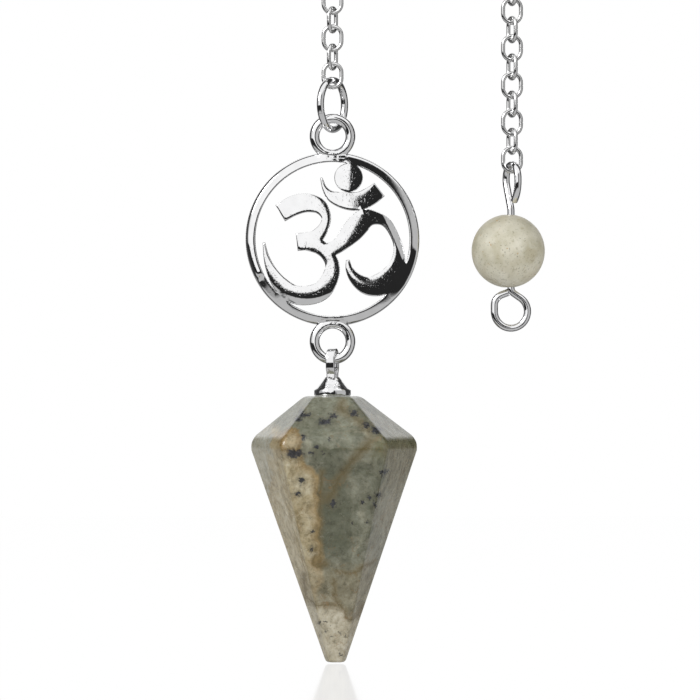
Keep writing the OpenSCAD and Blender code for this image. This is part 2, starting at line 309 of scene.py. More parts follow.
def fade(tree, value, low, high):
    """Smooth step from 0 at low to 1 at high."""
    node = add(tree, "ShaderNodeMapRange", {
        "Value": value, "From Min": min(low, high), "From Max": max(low, high),
        "To Min": float(low > high), "To Max": float(low <= high)})
    node.interpolation_type = "SMOOTHSTEP"
    return node.outputs["Result"]


def mix(tree, share, a, b, mode="MIX"):
    """Mixes two colours: 0, 6 and 7 are the inputs of the share and of the colours."""
    node = tree.nodes.new("ShaderNodeMix")
    node.data_type, node.blend_type = "RGBA", mode
    set_inputs(tree, node, {0: share, 6: a, 7: b})
    return node.outputs[2]


def over(tree, colour, share, shade, *fades):
    """Lays a shade over a colour, as much as the fades and the share leave of it."""
    return mix(tree, product(tree, *fades, share), colour, shade)


def tone(r, g, b):
    """Linear colour of an 8-bit one."""
    return tuple(((c / 255 + 0.055) / 1.055) ** 2.4 for c in (r, g, b))


def noise(tree, coords, scale, detail=4, rough=0.5, distortion=0, colour=False):
    """Noise texture of a scale per unit of the coordinates."""
    node = add(tree, "ShaderNodeTexNoise", {
        "Vector": coords, "Scale": scale, "Detail": detail, "Roughness": rough,
        "Distortion": distortion})
    return node.outputs["Color" if colour else "Fac"]


def ramp(tree, value, stops):
    """Colour ramp from a list of (place, grey or colour)."""
    node = add(tree, "ShaderNodeValToRGB", {"Fac": value})
    while len(node.color_ramp.elements) < len(stops):
        node.color_ramp.elements.new(0.5)
    for element, (place, colour) in zip(node.color_ramp.elements, stops):
        element.position = place
        if isinstance(colour, (int, float)):
            colour = (colour, colour, colour)
        element.color = (*colour, 1)
    return node.outputs["Color"]


def bump(tree, shader, height, strength, distance):
    node = add(tree, "ShaderNodeBump", {
        "Height": height, "Strength": strength, "Distance": distance})
    tree.links.new(node.outputs["Normal"], shader.inputs["Normal"])


# The plating's noises per metre, and the heights of pits and of lumps of solder, as
# shares of its bump, which is METAL_BUMP metres deep
HAZE_SCALE, DULL_SCALE, WAVE_SCALE = 900, 1400, 420
GRAIN_SCALE, PIT_SCALE, LUMP_SCALE = 6500, 5200, 2000
PIT_HIGH, LUMP_HIGH, METAL_BUMP = 2.0, 36.0, 0.00012
# Metres from its place within which solder is lumpy, and beyond which it is smooth
LUMP_NEAR, LUMP_FAR = 0.0007, 0.0017


def polished_metal(name, tint, rough, wave, lumps=(), grain=0):
    """Polished plating with faint waves, a little dullness, the grain and pits of a
    casting, and lumpy solder at the lumps."""
    mat, tree, shader = node_material(name)
    coords = object_coords(tree)
    haze = ramp(tree, noise(tree, coords, HAZE_SCALE, 5), [
        (0.3, tuple(0.93 * c for c in tint)), (0.7, tint)])
    dull = ramp(tree, noise(tree, coords, DULL_SCALE, 6, 0.6), [
        (0.35, rough), (0.75, rough * 2.2)])
    set_inputs(tree, shader, {"Metallic": 1, "Base Color": haze, "Roughness": dull})
    height = noise(tree, coords, WAVE_SCALE, 2)
    if grain:
        height = calc(tree, "MULTIPLY_ADD", noise(tree, coords, GRAIN_SCALE, 3), grain, height)
        pits = fade(tree, noise(tree, coords, PIT_SCALE, 2), 0.60, 0.72)
        height = calc(tree, "MULTIPLY_ADD", pits, PIT_HIGH * grain, height)
    for place in lumps:
        near = fade(tree, vector(tree, "DISTANCE", coords, place), LUMP_FAR, LUMP_NEAR)
        lump = calc(tree, "MULTIPLY", near, noise(tree, coords, LUMP_SCALE, 3))
        height = calc(tree, "MULTIPLY_ADD", lump, LUMP_HIGH, height)
    bump(tree, shader, height, wave, METAL_BUMP)
    return mat


# Chain: every link of the CAD chain, finer, with the small seam of its joint

# Steps of a link's bend, sides of its wire, and its butt joint as (height on the leg,
# thickness as a share of the wire's)
BEND_STEPS, LINK_SIDES = 15, 12
LINK_SEAM = [(0.17, 1.0), (0.085, 1.04), (0.045, 1.02), (0.0, 0.78), (-0.045, 1.02),
             (-0.085, 1.04), (-0.17, 1.0)]


def link_shape():
    """One link upright in the XZ plane, with its butt joint on the left leg."""
    bend_r, half = (LINK_W - LINK_WIRE) / 2, (LINK_LEN - LINK_W) / 2

    def bend(start, z):
        turns = np.radians(np.linspace(start, start + 180, BEND_STEPS))
        return [(bend_r * math.cos(t), 0, z + bend_r * math.sin(t), 1) for t in turns]

    rows = bend(0, half) + [(-bend_r, 0, z, share) for z, share in LINK_SEAM]
    rows = np.array(rows + bend(180, -half) + [(bend_r, 0, 0, 1)])
    return sweep(rows[:, :3], rows[:, 3] * LINK_WIRE / 2, LINK_SIDES, closed=True)


def on_route(verts, s):
    """Places a link at its distance along the chain's route."""
    along = min(max(s - LEFT_RUN, 0), ARCH_LEN) / ARCH_LEN
    below = max(LEFT_RUN - s, s - LEFT_RUN - ARCH_LEN, 0)
    turn = 180 * along
    place = (-ARCH_R * math.cos(math.radians(turn)), 0,
             ARCH_Z + ARCH_R * math.sin(math.radians(turn)) - below)
    return turned(verts, turn, "Y") + place


def build_chain():
    verts, faces = link_shape()
    links = []
    for i in range(LINK_COUNT):
        v = turned(verts, SIDE_TURN if i % 2 else FACE_TURN)
        links.append((on_route(v, i * LINK_PITCH), faces))
    return mesh_object("chain_links", *joined(links), "chain", "chain_metal", ["chain"])


# The ring's cut: degrees round it, thickness as a share of the wire's, and the angles
# beside it, in radians, between which the wire gets back to its full thickness
RING_CUT, CUT_SHARE, CUT_SIDE, CUT_END = 200, 0.86, (0.012, 0.02), 0.05
RING_STEPS, RING_SIDES = 118, 20


def build_jump_ring():
    """Round ring of wire, butted closed with a fine cut line."""
    whole, side = 2 * np.pi, np.array(CUT_SIDE)
    angles = math.radians(RING_CUT) + np.r_[
        0, side, np.linspace(CUT_END, whole - CUT_END, RING_STEPS), whole - side[::-1]]
    radii = np.full(len(angles), RING_WIRE / 2)
    radii[0] *= CUT_SHARE
    path = np.c_[RING_R * np.cos(angles), 0 * angles, RING_R * np.sin(angles)]
    verts, faces = sweep(path, radii, RING_SIDES, closed=True)
    verts = turned(verts, RING_TURN) + (LEFT_X, 0, RING_Z)
    return mesh_object("jump_ring_wire", verts, faces, "chain", "ring_metal", ["jump_ring"])


# Medallion: the outline of rim and sign, domed as one casting

def stations(table, steps=8):
    """The smooth curve through a stroke's rows, with steps to each row."""
    t = np.array(table, float)
    t = np.vstack([2 * t[0] - t[1], t, 2 * t[-1] - t[-2]])
    out = []
    for i in range(1, len(t) - 2):
        p0, p1, p2, p3 = t[i - 1:i + 3]
        for k in range(steps):
            u = k / steps
            out.append(0.5 * (2 * p1 + (p2 - p0) * u
                              + (2 * p0 - 5 * p1 + 4 * p2 - p3) * u * u
                              + (3 * p1 - p0 - 3 * p2 + p3) * u ** 3))
    out.append(t[-2])
    return np.array(out)


def stroke_outline(table):
    s = stations(table)
    run = np.empty((len(s), 2))
    run[1:-1] = s[2:, :2] - s[:-2, :2]
    run[0], run[-1] = s[1, :2] - s[0, :2], s[-1, :2] - s[-2, :2]
    run /= np.linalg.norm(run, axis=1)[:, None]
    side = np.c_[-run[:, 1], run[:, 0]] * s[:, 2:3] / 2
    return np.vstack([s[:, :2] + side, (s[:, :2] - side)[::-1]]) * SIGN_R


def circle(r, steps, centre=(0, 0)):
    a = np.linspace(0, 2 * np.pi, steps, endpoint=False)
    return np.c_[centre[0] + r * np.cos(a), centre[1] + r * np.sin(a)]


def flare(up):
    """Outline of the solder that flares from a hanging loop onto the rim."""
    base, half = DISC_D / 2 - RIM_W / 2, 1.5 * LOOP_WIRE
    turns = np.radians(np.linspace(246, 204, 8))
    right = [(half + FLARE_GAP + FLARE_R * math.cos(a),
              base + LOOP_SINK + FLARE_GAP + FLARE_R * math.sin(a)) for a in turns]
    left = [(-x, z) for x, z in right[::-1]]
    points = [(half, base - 0.1)] + right + left + [(-half, base - 0.1)]
    return np.array(points) * (1, up)


def inside(points, outline):
    """Which points lie inside an outline, by its winding."""
    x, z = points[:, 0], points[:, 1]
    wind = np.zeros(len(points), int)
    a, b = outline, np.roll(outline, -1, 0)
    for (ax, az), (bx, bz) in zip(a, b):
        if az == bz:
            continue
        cross = (bx - ax) * (z - az) - (x - ax) * (bz - az)
        wind += ((az <= z) & (bz > z) & (cross > 0)).astype(int)
        wind -= ((bz <= z) & (az > z) & (cross < 0)).astype(int)
    return wind != 0


def cut_sheet(loops, extra):
    """Triangles over all outlines, with their edges and the extra points kept."""
    points, edges = [], []
    for loop in loops:
        start = len(points)
        points += [Vector(p) for p in loop]
        n = len(loop)
        edges += [(start + k, start + (k + 1) % n) for k in range(n)]
    points += [Vector(p) for p in extra]
    out = delaunay_2d_cdt(points, edges, [], 0, 1e-5)
    return np.array([tuple(v) for v in out[0]]), np.array(out[2])


def point_gap(points, a, b):
    """Distance from each point to the nearest of the segments a-b."""
    best = np.full(len(points), 1e9)
    for p, q in zip(a, b):
        d = q - p
        t = np.clip(((points - p) @ d) / max(d @ d, 1e-12), 0, 1)
        gap = np.linalg.norm(points - p - t[:, None] * d, axis=1)
        np.minimum(best, gap, out=best)
    return best


def swell(verts, tris, fixed):
    """Soap-film height over a flat mesh, zero at the fixed points."""
    p = verts[tris]
    rows, cols, weights = [], [], []
    for k in range(3):
        i, j = (k + 1) % 3, (k + 2) % 3
        u, v = p[:, i] - p[:, k], p[:, j] - p[:, k]
        cross = np.abs(u[:, 0] * v[:, 1] - u[:, 1] * v[:, 0])
        cot = 0.5 * (u * v).sum(1) / np.maximum(cross, 1e-9)
        rows += [tris[:, i], tris[:, j]]
        cols += [tris[:, j], tris[:, i]]
        weights += [cot, cot]
    rows, cols, weights = map(np.concatenate, (rows, cols, weights))
    n = len(verts)
    diagonal = np.bincount(rows, weights, n)
    u, v = p[:, 1] - p[:, 0], p[:, 2] - p[:, 0]
    area = np.abs(u[:, 0] * v[:, 1] - u[:, 1] * v[:, 0]) / 2
    load = np.bincount(tris.ravel(), np.repeat(area / 3, 3), n)
    free = ~fixed

    def pull(x):
        return np.where(free, diagonal * x - np.bincount(rows, weights * x[cols], n), 0)

    x = np.zeros(n)
    r = np.where(free, load, 0)
    scale = 1 / np.maximum(diagonal, 1e-6)
    z = scale * r
    d = z.copy()
    for _ in range(900):
        a = pull(d)
        rz = r @ z
        alpha = rz / (d @ a)
        x += alpha * d
        r -= alpha * a
        if np.abs(r).max() < 1e-9:
            break
        z = scale * r
        d = z + (r @ z) / rz * d
    return np.maximum(x, 0)


# Height, edge and steepness of the doming of sign and rim, how far the whole face
# bellies forward, and how much each stroke rises to its middle
SIGN_PROFILE, RIM_PROFILE = (0.32, -0.25, 2.4), (0.30, -0.27, 1.8)
BELLY, CREST = 0.34, 0.05
# How far inwards of the rim the sign's profile turns into the rim's, and the rounded
# share of the rim's broken edge
RIM_BLEND, ROLL_SHARE = 0.5, 0.45
# The rim, uneven as filed by hand: degrees from the right, how steeply it falls away
# outwards and how wide its outer edge is broken, at the slope RIM_BEVEL
RIM_BEVEL = 1.4
RIM_TRIM = [
    (0, 0.18, 0.2), (30, 0.2, 0.2), (55, 0.22, 0.2), (80, 0.16, 0.24), (120, 0.14, 0.32),
    (150, 0.06, 0.34), (180, -0.03, 0.4), (195, -0.03, 0.48), (206, -0.03, 0.5),
    (209, 0.6, 0.26), (215, 0.44, 0.2), (222, 0.34, 0.2), (232, 0.26, 0.2),
    (304, 0.25, 0.2), (314, 0.2, 0.2),
    (328, 0.05, 0.12), (351, 0.05, 0.12), (355, 0.18, 0.2),
]
# Where the lower bowl falls off to its foot, outside a circle (across, up, radius), and
# the share that it takes of that fall and the rim beside it, by degrees from the right
BOWL_RIDGE, BOWL_FALL, BOWL_REACH = (-2.79, -1.57, 4.92), 0.27, 0.9
BOWL_PART = ((206, 209, 262, 285), (0, 1, 1, 0))
BOWL_RIM_PART = ((206, 209, 222, 262), (0, 1, 1, 0))
# Where the tail's right side falls off, beyond a line (from, to) and below a height
TAIL_RIDGE, TAIL_TOP = ((5.73, 2.02), (7.85, -2.8)), 2.9
TAIL_FALL, TAIL_REACH = 0.25, 0.7


# Depths of the rows of points along all edges, and the grid over what lies deeper
ROW_DEPTHS = (0.03, 0.08, 0.16, 0.27, 0.38, 0.5)
GRID, GRID_DEPTH = 0.2, 0.6


def border(tris):
    """The edges that only one triangle has."""
    e = np.sort(np.vstack([tris[:, [0, 1]], tris[:, [1, 2]], tris[:, [2, 0]]]), 1)
    edge, count = np.unique(e, axis=0, return_counts=True)
    return edge[count == 1]


def edge_rows(a, b, solid):
    """Points inside along the edges a-b, and the grid, for the mesh to pass through."""
    length = np.linalg.norm(b - a, axis=1)
    across = np.c_[-(b - a)[:, 1], (b - a)[:, 0]] / length[:, None]
    extra = []
    for depth in ROW_DEPTHS:
        gap = max(0.11, min(depth * 0.8, 0.24))
        rows = []
        for p, q, n, size in zip(a, b, across, length):
            count = max(1, round(size / gap))
            for k in range(count):
                t = (k + 0.5) / count
                for side in (-1, 1):
                    rows.append(p + (q - p) * t + n * side * depth)
        rows = np.array(rows)
        rows = rows[solid(rows)]
        extra.append(rows[point_gap(rows, a, b) > 0.93 * depth])
    gx, gz = np.meshgrid(np.arange(-10, 10, GRID), np.arange(-10.5, 10.5, GRID * 0.866))
    gx = gx + (np.arange(gx.shape[0])[:, None] % 2) * GRID / 2
    rows = np.c_[gx.ravel(), gz.ravel()]
    rows = rows[solid(rows)]
    extra.append(rows[point_gap(rows, a, b) > GRID_DEPTH])
    return np.vstack(extra)


def casting_front(verts, dome):
    """How far back the medallion's front lies, domed, bellied, trimmed and falling off."""
    radius = np.linalg.norm(verts, axis=1)
    around = np.degrees(np.arctan2(verts[:, 1], verts[:, 0]))
    out = radius - SIGN_R
    on_rim = np.clip(1 + out / RIM_BLEND, 0, 1)
    on_rim = on_rim * on_rim * (3 - 2 * on_rim)
    top, edge_y, share = (sign + (rim - sign) * on_rim
                          for sign, rim in zip(SIGN_PROFILE, RIM_PROFILE))
    front = edge_y - top * np.tanh(share * dome / top) - CREST * dome
    front -= BELLY * (1 - np.clip(radius / (DISC_D / 2), 0, 1) ** 2)

    turns, falls, breaks = zip(*RIM_TRIM)
    front += np.interp(around, turns, falls, period=360) * np.clip(out, 0, RIM_W)
    wide = np.interp(around, turns, breaks, period=360)
    roll = ROLL_SHARE * wide
    brink = np.clip(out - RIM_W + wide, 0, wide)
    front += RIM_BEVEL * np.where(brink < roll, brink ** 2 / (2 * roll), brink - roll / 2)

    reach = verts * np.minimum(1, SIGN_R / np.maximum(radius, 1))[:, None]
    past = np.linalg.norm(reach - BOWL_RIDGE[:2], axis=1) - BOWL_RIDGE[2]
    part = (np.interp(around, *BOWL_PART, period=360) * (1 - on_rim)
            + np.interp(around, *BOWL_RIM_PART, period=360) * on_rim)
    front += BOWL_FALL * np.clip(past, 0, BOWL_REACH) * part

    (ax, az), (bx, bz) = TAIL_RIDGE
    past = ((verts[:, 0] - ax) * (az - bz) + (verts[:, 1] - az) * (bx - ax)) / math.hypot(
        bx - ax, bz - az)
    part = np.clip((TAIL_TOP - verts[:, 1]) / 0.5, 0, 1) * (1 - on_rim)
    return front + TAIL_FALL * np.clip(past, 0, TAIL_REACH) * part


def build_medallion():
    strokes = [stroke_outline(t) for t in (UPPER_BOWL, LOWER_BOWL, TAIL, CRESCENT)]
    strokes.append(circle(DOT[2] * SIGN_R, 72, (DOT[0] * SIGN_R, DOT[1] * SIGN_R)))
    flares = [flare(1), flare(-1)]
    loops = strokes + flares + [circle(DISC_D / 2, 240), circle(SIGN_R, 220)]

    def solid(points):
        radius = np.linalg.norm(points, axis=1)
        keep = (radius < DISC_D / 2) & (radius > SIGN_R)
        for s in strokes:
            keep |= inside(points, s) & (radius < SIGN_R + RIM_W / 2)
        for s in flares:
            keep |= inside(points, s)
        return keep

    verts, tris = cut_sheet(loops, [])
    a, b = verts[border(tris[solid(verts[tris].mean(1))]).T]
    verts, tris = cut_sheet(loops, edge_rows(a, b, solid))
    tris = tris[solid(verts[tris].mean(1))]
    used, flat = np.unique(tris, return_inverse=True)
    verts, tris = verts[used], flat.reshape(-1, 3)
    p = verts[tris]
    twice = np.cross(p[:, 1] - p[:, 0], p[:, 2] - p[:, 0])
    tris[twice < 0] = tris[twice < 0][:, ::-1]
    edge = border(tris)
    fixed = np.zeros(len(verts), bool)
    fixed[edge.ravel()] = True
    front = casting_front(verts, np.sqrt(2 * swell(verts, tris, fixed)))

    n = len(verts)
    points = np.vstack([np.c_[verts[:, 0], front, verts[:, 1]],
                        np.c_[verts[:, 0], np.full(n, RIM_T / 2), verts[:, 1]]])
    tris = tris.tolist()
    faces = [tuple(t) for t in tris]
    faces += [(t[2] + n, t[1] + n, t[0] + n) for t in tris]
    forward = {(t[k], t[(k + 1) % 3]) for t in tris for k in range(3)}
    for i, j in edge.tolist():
        if (i, j) not in forward:
            i, j = j, i
        faces.append((j, i, i + n, j + n))
    parts = [(points, faces)]
    for up in (1, -1):
        v, f = torus(LOOP_R, LOOP_WIRE / 2, 96, 24)
        parts.append((v + (0, 0, up * LOOP_DROP), f))
    verts, faces = joined(parts)
    return mesh_object("medallion_casting", verts + (LEFT_X, 0, DISC_Z), faces,
                       "medallion", "cast_metal", ["medallion"], sharp=50)


# Cap: band, cone and eye strap, a little fuller than the solid, as the photograph shows it

CAP_FULLER, CAP_EDGE, CONE_HOLLOW = 0.06, 0.12, 0.08
# The strap's rounded edges, and how its legs step in below the knee, onto the cone's top
EYE_EDGE, KNEE_UP, STEP_H, STEP_IN = 0.13, 1.05, 0.62, 0.36


def cap_strap():
    """Points and faces of the strap, bent over and down onto the cone."""
    mid = (EYE_IN + EYE_T) / 2
    centre_z = EYE_TOP_Z - EYE_IN / 2
    foot, knee = CONE_TOP_Z - 0.25, CONE_TOP_Z + KNEE_UP
    heights = [foot, knee - STEP_H - 0.05, knee - STEP_H + 0.05, knee - 0.05, knee + 0.05]
    path = [(-mid, z) for z in heights]
    path += [(mid * math.cos(t), centre_z + mid * math.sin(t))
             for t in np.radians(np.linspace(180, 0, 33))]
    path = np.array(path + [(mid, z) for z in heights[::-1]])
    path[:, 0] *= 1 - STEP_IN * np.clip((knee - path[:, 1]) / STEP_H, 0, 1)
    run = np.gradient(path, axis=0)
    run /= np.linalg.norm(run, axis=1)[:, None]
    out = np.c_[-run[:, 1], run[:, 0]]
    section = []
    for cx, cy, start in ((1, 1, 0), (-1, 1, 90), (-1, -1, 180), (1, -1, 270)):
        for a in (0, 30, 60, 90):
            t = math.radians(start + a)
            section.append((cx * (EYE_W / 2 - EYE_EDGE) + EYE_EDGE * math.cos(t),
                            cy * (EYE_T / 2 - EYE_EDGE) + EYE_EDGE * math.sin(t)))
    verts = np.array([(sx, p[0] + o[0] * sy, p[1] + o[1] * sy)
                      for p, o in zip(path, out) for sx, sy in section])
    return turned(verts, -EYE_TURN), tube_faces(len(path), len(section))


def build_cap():
    r, top = CAP_D / 2 + CAP_FULLER, CAP_TOP_D / 2 + CAP_FULLER
    foot_r, crown_z = r - 0.02, CAP_BAND + CAP_CONE + 0.02
    profile = [(0, 0), (r - CAP_EDGE, 0), (r - 0.03, 0.03), (r, CAP_EDGE),
               (r, CAP_BAND - 0.06), (foot_r, CAP_BAND)]
    for t in np.arange(1, 9) / 8:
        profile.append((foot_r - (foot_r - top) * t,
                        CAP_BAND + CAP_CONE * t - CONE_HOLLOW * math.sin(math.pi * t)))
    profile += [(top - 0.06, crown_z), (0, crown_z)]
    verts, faces = lathe(profile, 72)
    verts, faces = joined([(verts + (0, 0, CAP_LOW_Z), faces), cap_strap()])
    return mesh_object("cap_casting", verts + (LEFT_X, 0, 0), faces, "drop",
                       "cap_metal", ["cap"], sharp=35)


# Stone: the sharp five-sided form with softly polished edges, a little fuller than the
# solid at shoulder and tip and leaning to the right, as the photograph shows it

STONE_FULLER, TIP_FULLER, SHOULDER_DROP = 0.4, 0.2, 0.12
TIP_LEAN, SHOULDER_LEAN = 0.34, 0.17
# How wide the edges are rounded, as shares of EDGE_ROUND, by the rings that they join:
# 0 is the tip, 1 the shoulder and 2 the table
EDGE_ROUND = 1.0
EDGE_SHARES = {(0, 0): 0.35, (0, 1): 0.4, (1, 1): 1.0, (1, 2): 0.35, (2, 2): 0.45}


def build_stone():
    rings = [(TIP_W / 2 + TIP_FULLER, TIP_Z, TIP_LEAN),
             (STONE_W / 2 + STONE_FULLER, SHOULDER_Z - SHOULDER_DROP, SHOULDER_LEAN),
             (TABLE_W / 2, TABLE_Z, 0)]
    verts = []
    for half, z, lean in rings:
        r = half / math.cos(math.radians(18))
        for i in range(5):
            a = math.radians(-126 + 72 * i)
            verts.append((LEFT_X + lean + r * math.cos(a), r * math.sin(a), z))
    faces = [(4, 3, 2, 1, 0), (10, 11, 12, 13, 14)]
    for k in (0, 5):
        for i in range(5):
            j = (i + 1) % 5
            faces.append((k + i, k + j, k + 5 + j, k + 5 + i))
    obj = mesh_object("stone_drop", verts, faces, "drop", "drop_stone", ["stone"], sharp=180)
    weight = obj.data.attributes.new("bevel_weight_edge", "FLOAT", "EDGE")
    for edge in obj.data.edges:
        rings = tuple(sorted(v // 5 for v in edge.vertices))
        weight.data[edge.index].value = EDGE_SHARES[rings]
    bevel = obj.modifiers.new("edges", "BEVEL")
    bevel.width = EDGE_ROUND * MM
    bevel.segments = 6
    bevel.limit_method = "WEIGHT"
    bevel.harden_normals = True
    return obj


# Pin and bead

def bent_path(bends, heading):
    """Points along a bent wire in its own plane, from the origin."""
    p, h = np.zeros(2), heading
    points = [p]
    for straight, radius, turn in bends:
        step = np.array([math.cos(math.radians(h)), math.sin(math.radians(h))])
        points += [p + step * straight * t for t in (0.5, 1.0)]
        p = points[-1]
        if turn:
            s = math.copysign(1, turn)
            centre = p + s * radius * np.array([-step[1], step[0]])
            count = math.ceil(abs(turn) / 6)
            for k in range(1, count + 1):
                t = math.radians(h + turn * k / count)
                points.append(centre + s * radius * np.array([math.sin(t), -math.cos(t)]))
            p, h = points[-1], h + turn
    return np.array(points)


def build_pin():
    """Both halves of the pin, from the bead's middle out, with slightly broken ends."""
    parts = []
    for bends, heading, turn in ((TOP_BENDS, 90, TOP_LOOP_TURN), (LOW_BENDS, -90, 0)):
        lead = (bends[0][0] + BEAD_D / 2, *bends[0][1:])
        path = bent_path([lead, *bends[1:]], heading)
        last = path[-1] - path[-2]
        path = np.vstack([path, path[-1] + last / np.linalg.norm(last) * 0.03])
        radii = np.full(len(path), PIN_WIRE / 2)
        radii[-1] *= 0.9
        verts, faces = sweep(np.c_[path[:, 0], 0 * path[:, 0], path[:, 1]], radii, 20)
        parts.append((turned(verts, turn), faces))
    verts, faces = joined(parts)
    return mesh_object("bead_pin_wire", verts + (PIN_X, PIN_Y, BEAD_Z), faces,
                       "chain", "pin_metal", ["bead_pin"])


def build_bead():
    """The ball with its bore, whose ends are countersunk by BORE_LIP."""
    r, bore = BEAD_D / 2, PIN_WIRE / 2 + BORE_GAP
    start = math.asin((bore + BORE_LIP) / r)
    bore_z, lip_z = math.sqrt(r * r - bore * bore) - 0.2, r * math.cos(start) - 0.03
    profile = [(bore, -bore_z), (bore + 0.02, -lip_z)]
    profile += [(r * math.sin(a), -r * math.cos(a))
                for a in np.linspace(start, math.pi - start, 72)]
    profile += [(bore + 0.02, lip_z), (bore, bore_z), (bore, -bore_z)]
    verts, faces = lathe(profile[::-1], 96)
    return mesh_object("bead_ball", verts + (BEAD_X, PIN_Y, BEAD_Z), faces, "bead",
                       "bead_stone", ["bead"])


chain = build_chain()
jump_ring = build_jump_ring()
medallion = build_medallion()
cap = build_cap()
stone = build_stone()
pin = build_pin()
bead = build_bead()

SILVER, CHAIN_SILVER, CAST_SILVER = (0.93, 0.93, 0.94), (0.86, 0.86, 0.86), (0.95, 0.95, 0.955)
SOLDER = [(LEFT_X * MM, -RIM_T / 2 * MM, (DISC_Z + up * (DISC_D / 2 + 0.1)) * MM)
          for up in (1, -1)]
CONE_SOLDER = [(LEFT_X * MM, -1.2 * MM, (CONE_TOP_Z - 0.75) * MM)]
for obj, *look in (
        (chain, "chain_plating", CHAIN_SILVER, 0.10, 0.14),
        (jump_ring, "ring_plating", SILVER, 0.05, 0.06),
        (medallion, "cast_plating", CAST_SILVER, 0.028, 0.05, SOLDER, 0.15),
        (cap, "cap_plating", SILVER, 0.05, 0.08, CONE_SOLDER),
        (pin, "pin_plating", SILVER, 0.05, 0.05)):
    obj.data.materials.append(polished_metal(*look))


# Dark mineral specks on the stone's front: across and up from the middle of the
# shoulder, half width and half height, in millimetres
SPECKS = [
    (-3.35, 3.0, 0.28, 0.42), (-2.75, 2.85, 0.5, 0.2), (-3.75, 2.35, 0.35, 0.3),
    (-0.85, 2.1, 0.75, 0.32), (0.1, 2.75, 0.4, 0.22), (2.3, 3.0, 0.42, 0.3),
    (3.75, 1.7, 0.42, 0.3), (4.75, 1.2, 0.6, 0.34), (-3.1, 0.4, 0.2, 0.3),
    (-1.7, -0.65, 0.25, 0.16), (-0.3, 0.3, 0.14, 0.12), (-2.25, -1.3, 0.3, 0.18),
    (-1.0, -1.3, 0.14, 0.12), (-4.1, -1.35, 0.85, 0.45), (-3.35, -4.2, 0.32, 0.32),
    (-3.8, -5.7, 0.35, 0.2), (0.1, -6.8, 0.3, 0.35), (3.25, -6.65, 0.2, 0.18),
    (4.0, -6.2, 0.16, 0.2), (5.0, -5.85, 0.34, 0.24), (5.55, -3.3, 0.5, 0.16),
    (5.35, -3.75, 0.14, 0.24), (4.6, -6.9, 0.14, 0.34), (-2.15, -9.65, 0.18, 0.16),
    (-2.25, -11.8, 0.14, 0.3), (3.75, -8.8, 0.14, 0.12), (2.2, -8.9, 0.12, 0.12),
    (-1.45, -19.8, 0.12, 0.16), (-0.7, -19.75, 0.12, 0.1), (-0.75, -20.7, 0.1, 0.12),
    (-0.15, -21.35, 0.12, 0.08), (1.35, -21.4, 0.12, 0.08), (0.85, -20.95, 0.1, 0.08),
    (0.85, -23.3, 0.1, 0.12),
]

# Rust-brown veins, each a line of (across, up) with its half width
VEINS = [
    ([(4.2, 0.1), (1.7, -2.7), (0.5, -4.6), (-0.4, -6.4)], 0.42),
    ([(-1.1, -3.4), (-1.3, -8), (-1.5, -13.5), (-0.9, -13.2)], 0.3),
    ([(-2.05, -10.9), (-1.9, -13.6), (-0.7, -13.55)], 0.22),
    ([(-3.2, -14.5), (-2.95, -17.1), (-1.6, -18), (0.4, -17.8)], 0.24),
    ([(4.6, -13), (3.2, -13.75), (2, -14.5), (0.4, -14.2)], 0.2),
    ([(0.1, -15.3), (0.4, -17.1), (1.3, -18.4), (1.85, -19.6), (3, -18.9), (3.4, -18)],
     0.26),
    ([(1.1, 4.4), (0.9, 3.6), (1.9, 2.9), (3.9, 1.1)], 0.34),
]


def line_gap(tree, place, points):
    """Distance from a place in the front plane to a line through the points."""
    best = None
    for (ax, az), (bx, bz) in zip(points[:-1], points[1:]):
        run = (bx - ax, 0, bz - az)
        size = run[0] ** 2 + run[2] ** 2
        from_a = vector(tree, "SUBTRACT", place, (ax, 0, az))
        share = calc(tree, "DIVIDE", vector(tree, "DOT_PRODUCT", from_a, run), size)
        share = calc(tree, "MINIMUM", calc(tree, "MAXIMUM", share, 0.0), 1.0)
        gap = vector(tree, "DISTANCE", from_a, vector(tree, "MULTIPLY", run, share))
        best = gap if best is None else calc(tree, "MINIMUM", best, gap)
    return best


# How far the front's upright edges run inwards, per millimetre of their height
EDGE_LEAN = 0.244


